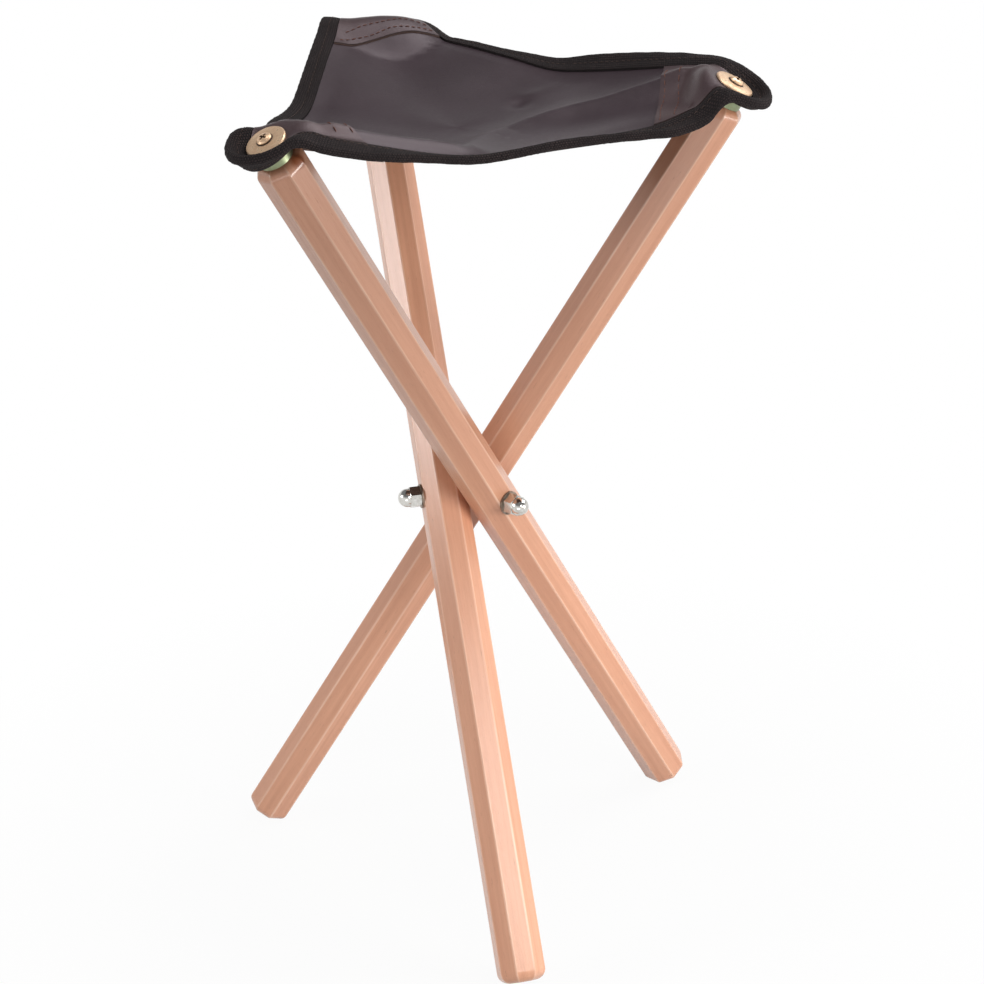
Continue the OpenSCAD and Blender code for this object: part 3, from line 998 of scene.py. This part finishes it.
# Corner patches
# A second piece of the same hide strengthens each corner. Its inner side is cut
# straight across, at a slight slant on the back one, and sewn down there with two
# rows of thick rust-coloured thread.
patch_t = 0.0016
patch_reaches = (0.045, 0.045, 0.0475)
patch_low = leather_t + layer_gap
patch_high = patch_low + patch_t
patch_inset = bind_w + 0.0005
cut_slants = (0.0, 0.0, 0.15)
rows_in = ((0.0028, 0.0122), (0.0028, 0.0122), (0.0028, 0.0088))
row_inset = bind_w + 0.0015
row_wander, wander_rate = 0.0005, 190
patch_hide = hide("patch_hide", (0.038, 0.022, 0.024), (0.054, 0.033, 0.033))
# The patch's walls take a much darker hide, as painted shadow along its cut edge
cut_edge_painted_shadow = hide("cut_edge_painted_shadow", (0.016, 0.011, 0.011), (0.024, 0.016, 0.015))


def thread(name, colour):
    finish, tree = new_finish(name)
    fuzz = noise(tree, put(tree, "ShaderNodeTexCoord").outputs["Object"], 1800.0, 3.0)
    tint = mix(tree, fuzz, (*colour, 1), (*[c * 0.5 for c in colour], 1))
    look = {"Color": tint, "Roughness": 0.75, "Height": fuzz}
    shaded(tree, look, 0.4, 0.0002, {"Specular IOR Level": 0.3})
    return finish


def run_along(points):
    """How far each point lies along the line through them all."""
    return np.append(0, np.cumsum(np.linalg.norm(np.diff(points, axis=0), axis=1)))


def sewn(name, rows, lift, face, finish, length=0.0033, gap=0.0012, thick=0.00027):
    """Stitches along each row of flat points, standing a little out of the leather."""
    reach = np.array((0, 0.12, 0.35, 0.65, 0.88, 1)) * length
    stand = np.array((-3, 1, 3, 3, 1, -3)) / 10000
    fat = np.array((0.4, 0.85, 1, 1, 0.85, 0.4)) * thick
    turns = np.radians(np.arange(0, 360, 60))
    rings, sides = len(reach), len(turns)
    step = 0.0002
    points, faces = [], []
    for row in rows:
        run = run_along(row)
        starts = np.arange(gap, run[-1] - length - gap, length + gap)
        at = (starts[:, None] + reach).ravel()
        flat, next_flat = (
            np.column_stack([np.interp(x, run, row[:, n]) for n in (0, 1)])
            for x in (at, at + step)
        )
        centre = np.column_stack((flat, layer_z(flat, lift)))
        forward = np.column_stack((next_flat, layer_z(next_flat, lift))) - centre
        forward /= np.linalg.norm(forward, axis=1)[:, None] + 1e-12
        up = layer_normal(flat, lift) * face
        side = np.cross(forward, up)
        centre += up * np.tile(stand, len(starts))[:, None]
        wide = np.tile(fat, len(starts))[:, None, None]
        cosines, sines = np.cos(turns)[:, None], np.sin(turns)[:, None]
        spokes = cosines * up[:, None] + sines * side[:, None]
        first = sum(len(p) for p in points)
        points.append((centre[:, None] + wide * spokes).reshape(-1, 3))
        for stitch in range(len(starts)):
            base = first + stitch * rings * sides
            for ring in range(base, base + (rings - 1) * sides, sides):
                for n in range(sides):
                    a, b = ring + n, ring + (n + 1) % sides
                    faces.append((a, b, b + sides, a + sides))
            faces.append([base + n for n in range(sides - 1, -1, -1)])
            faces.append([base + (rings - 1) * sides + n for n in range(sides)])
    return new_piece(name, smooth_mesh(name, np.vstack(points), faces), finish)


rust_thread = thread("rust_thread", (0.20, 0.085, 0.060))
for k, side in enumerate(stud_turns):
    faced = unit(corner_turns[k])
    beside = np.array((-faced[1], faced[0]))
    cut_at = corner_x - patch_reaches[k]
    # The border follows the tape to where the cut meets it, on both sides
    steps = np.linspace(round_half, half_side, 601)
    ends = []
    for way in (-1, 1):
        tries = outline(per_side * k + way * steps, patch_inset)
        beyond = tries @ faced + tries @ beside * cut_slants[k] - cut_at
        ends.append(per_side * k + way * np.interp(0, -beyond, steps))
    edge = outline(stations(k, *ends, 26, 31), patch_inset)
    across_cut = np.linspace(edge[-1], edge[0], 38)[1:-1]
    rings = ringed(np.vstack((edge, across_cut)), k, np.linspace(0, 1, 16))
    patch = shell(
        f"corner_patch_leather_{side}", *rings, patch_low, patch_high, patch_hide, cut_edge_painted_shadow
    )
    along = np.linspace(-0.06, 0.06, 241)
    rows = []
    for number, inward in enumerate(rows_in[k]):
        uneven = row_wander * np.sin(along * wander_rate + k + 2 * number)
        row = (
            faced * (cut_at + inward)
            + (beside - cut_slants[k] * faced) * along[:, None]
            + faced * uneven[:, None]
        )
        rows.append(row[edge_inset(row, station_at(row)) > row_inset])
    seam = sewn(f"patch_stitches_{side}", rows, patch_high, 1, rust_thread)
    for piece in (patch, seam):
        node = f"corner_patch_{side}"
        bend(piece, k, ("hub", f"{side}_leg"), corner_bend, node, "leather")

# Edge binding
# Ribbed woven tape folded over the raw edge of the hide all round the seat, and
# sewn through both its faces with one row of fine brown thread.
bind_t = 0.0015
bind_row = 0.0058
sunk = 0.0003
row_pitch, wale_pitch = 0.00135, 0.0017
lump = 0.00011
tape_sharp = 45


def binding_tape():
    finish, tree = new_finish("binding_tape")

    def counted(name, pitch):
        place = put(tree, "ShaderNodeAttribute", attribute_name=name).outputs["Fac"]
        return maths(tree, "DIVIDE", place, pitch)

    def humps(count):
        turn = maths(tree, "MULTIPLY", count, math.pi)
        return maths(tree, "ABSOLUTE", maths(tree, "SINE", turn))

    row = counted("across", row_pitch)
    stagger = maths(tree, "MULTIPLY", maths(tree, "FLOOR", row), 0.5)
    wale = maths(tree, "ADD", counted("run", wale_pitch), stagger)
    knots = maths(tree, "MULTIPLY", humps(row), humps(wale))
    point = put(tree, "ShaderNodeTexCoord").outputs["Object"]
    fuzz = noise(tree, point, 700.0, 5.0, 0.7)
    # The knots' raised tops are painted paler as a painted highlight, dimmed in random dusty
    # patches
    lit = ranged(tree, maths(tree, "MULTIPLY", knots, fuzz), 0.2, 0.62)
    dusty = ranged(tree, noise(tree, point, 60.0, 3.0), 0.35, 0.7, 0.35)
    highlight_and_dust = maths(tree, "MULTIPLY", lit, dusty)
    tint = mix(tree, highlight_and_dust, (0.0095, 0.0070, 0.0075, 1), (0.062, 0.040, 0.038, 1))
    height = maths(tree, "ADD", knots, maths(tree, "MULTIPLY", fuzz, 0.5))
    look = {"Color": tint, "Roughness": 0.88, "Height": height}
    shaded(tree, look, 0.75, 0.0006, {"Specular IOR Level": 0.2})
    return finish


tape_finish = binding_tape()
brown_thread = thread("brown_thread", (0.085, 0.055, 0.048))

# The tape's section, as insets from the edge and lifts from the leather's underside:
# over the top with a dip at the seam, round the edge, back below, and inside again
tape_top = leather_t + layer_gap + bind_t
tape_low = -(layer_gap + bind_t)
face_insets = np.array((11, 10.6, 9, 7.0, 6.3, 5.8, 5.3, 4.6, 2.8, 1.2, 0)) / 1000
face_dips = np.array((6, 1, 0, 0, 2.5, 4, 2.5, 0, -1, -1, 0)) / 10000
fold_turns = np.radians(np.arange(75, -76, -15))
tape_profile = (
    [(d, tape_top - dip) for d, dip in zip(face_insets, face_dips)]
    + [
        (
            tape_low * math.cos(a),
            leather_t / 2 + (leather_t / 2 + layer_gap + bind_t) * math.sin(a),
        )
        for a in fold_turns
    ]
    + [(d, tape_low + dip) for d, dip in zip(face_insets[::-1], face_dips[::-1])]
    + [(d, -layer_gap) for d in (bind_w, 0.004, 0)]
    + [(-layer_gap, leather_t * 0.2), (-layer_gap, leather_t * 0.8)]
    + [(d, leather_t + layer_gap) for d in (0, 0.004, bind_w)]
)
folded = range(len(face_insets) - 3, len(face_insets) + len(fold_turns) + 3)
for k, side in enumerate(stud_turns):
    js = stations(k, edge_stations[k][0], edge_stations[k][-1], 170, 71)
    rim_line = outline(js, 0)
    outward = rim_line - outline(js, 0.001)
    outward /= np.linalg.norm(outward, axis=1)[:, None]
    run = run_along(rim_line)
    strands = []
    for n, (inset, lift) in enumerate(tape_profile):
        flat = outline(js, max(inset, 0))
        z = layer_z(flat, lift)
        if n in folded:
            lumps = np.sin(run * 2020) + np.sin(run * 871 + n)
            flat = flat + outward * (lump * lumps + max(-inset, 0))[:, None]
        elif inset < 0:
            flat = flat - outward * inset
        strands.append(np.column_stack((flat, z)))
    grid = np.stack(strands, 1)
    wide = len(strands)
    faces = []
    for strip in range(0, (len(js) - 1) * wide, wide):
        for n in range(wide):
            a, b = strip + n, strip + (n + 1) % wide
            faces.append((a, a + wide, b + wide, b))
    faces.append(list(range(wide)))
    faces.append([(len(js) - 1) * wide + n for n in range(wide - 1, -1, -1)])
    mesh = smooth_mesh(f"edge_tape_{side}", grid.reshape(-1, 3), faces)
    for name, values in (
        ("run", np.repeat(run, wide)),
        ("across", np.tile(run_along(grid[len(js) // 4]), len(js))),
    ):
        mesh.attributes.new(name, "FLOAT", "POINT").data.foreach_set("value", values)
    shape = bmesh.new()
    shape.from_mesh(mesh)
    bmesh.ops.recalc_face_normals(shape, faces=shape.faces)
    ease(shape, tape_sharp)
    shape.to_mesh(mesh)
    shape.free()
    tape = new_piece(f"edge_tape_{side}", mesh, tape_finish)
    row = outline(js[2:-2], bind_row)
    seams = [
        sewn(
            f"edge_stitches_{where}_{side}",
            [row],
            lift,
            face,
            brown_thread,
            length=0.0029,
            gap=0.0014,
            thick=0.0002,
        )
        for where, lift, face in (
            ("top", tape_top - sunk, 1),
            ("under", tape_low + sunk, -1),
        )
    ]
    for piece in [tape] + seams:
        bend(piece, k, ("hub", f"{side}_leg"), corner_bend, "edge_binding", "binding")

# Washers and screws
# A crowned brass washer and a cross-head screw clamp each corner on its collar.
# The brass has gone coppery, with turning marks. Round the screw's head, in its recess and
# under its rim, shade is painted dark, and the metal there is rougher and less metallic.
head_top = 0.3309
head_r = 0.00475
recess_r = 0.0033
turning_marks = 15000.0


def brass(side, part):
    finish, tree = new_finish(f"brass_{part}_{side}")
    own = in_leg_frame(tree, side)
    flat = put(tree, "ShaderNodeVectorMath", {0: own, 1: (1, 1, 0)}, operation="MULTIPLY")
    radius = length_of(tree, flat.outputs[0])
    height = put(tree, "ShaderNodeSeparateXYZ", {0: own}).outputs["Z"]
    # Painted shade: a thin dark ring on the washer round the head, and on the screw its
    # recess and the side under its top, where the metal is also made rougher and less
    # metallic
    if part == "washer":
        shade_and_grime = ranged(tree, radius, head_r + 0.0011, head_r + 0.0003)
    else:
        within = ranged(tree, radius, recess_r, recess_r - 0.0004)
        sunk_in = ranged(tree, height, head_top - 0.0003, head_top - 0.0007)
        beneath = ranged(tree, height, head_top - 0.0014, head_top - 0.0022)
        shade_and_grime = maths(tree, "MAXIMUM", maths(tree, "MULTIPLY", within, sunk_in), beneath)
    look = wear(tree, (0.86, 0.61, 0.40), (0.66, 0.43, 0.27), 0.26, 0.46, 330.0)
    marks = maths(tree, "SINE", maths(tree, "MULTIPLY", radius, turning_marks))
    rougher = maths(tree, "MULTIPLY", shade_and_grime, 0.3)
    shaded_grimy_look = {
        "Color": mix(tree, shade_and_grime, look["Color"], (0.055, 0.032, 0.020, 1)),
        "Roughness": maths(tree, "ADD", look["Roughness"], rougher),
        "Height": maths(tree, "ADD", maths(tree, "MULTIPLY", marks, 0.25), look["Height"]),
    }
    metallic = maths(tree, "SUBTRACT", 0.65, maths(tree, "MULTIPLY", shade_and_grime, 0.5))
    shaded(tree, shaded_grimy_look, 0.12, 0.0002, {"Metallic": metallic})
    return finish


for side in stud_turns:
    dress(f"seat_washer_{side}", brass(side, "washer"))
    dress(f"seat_screw_{side}", brass(side, "screw"))

low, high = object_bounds()
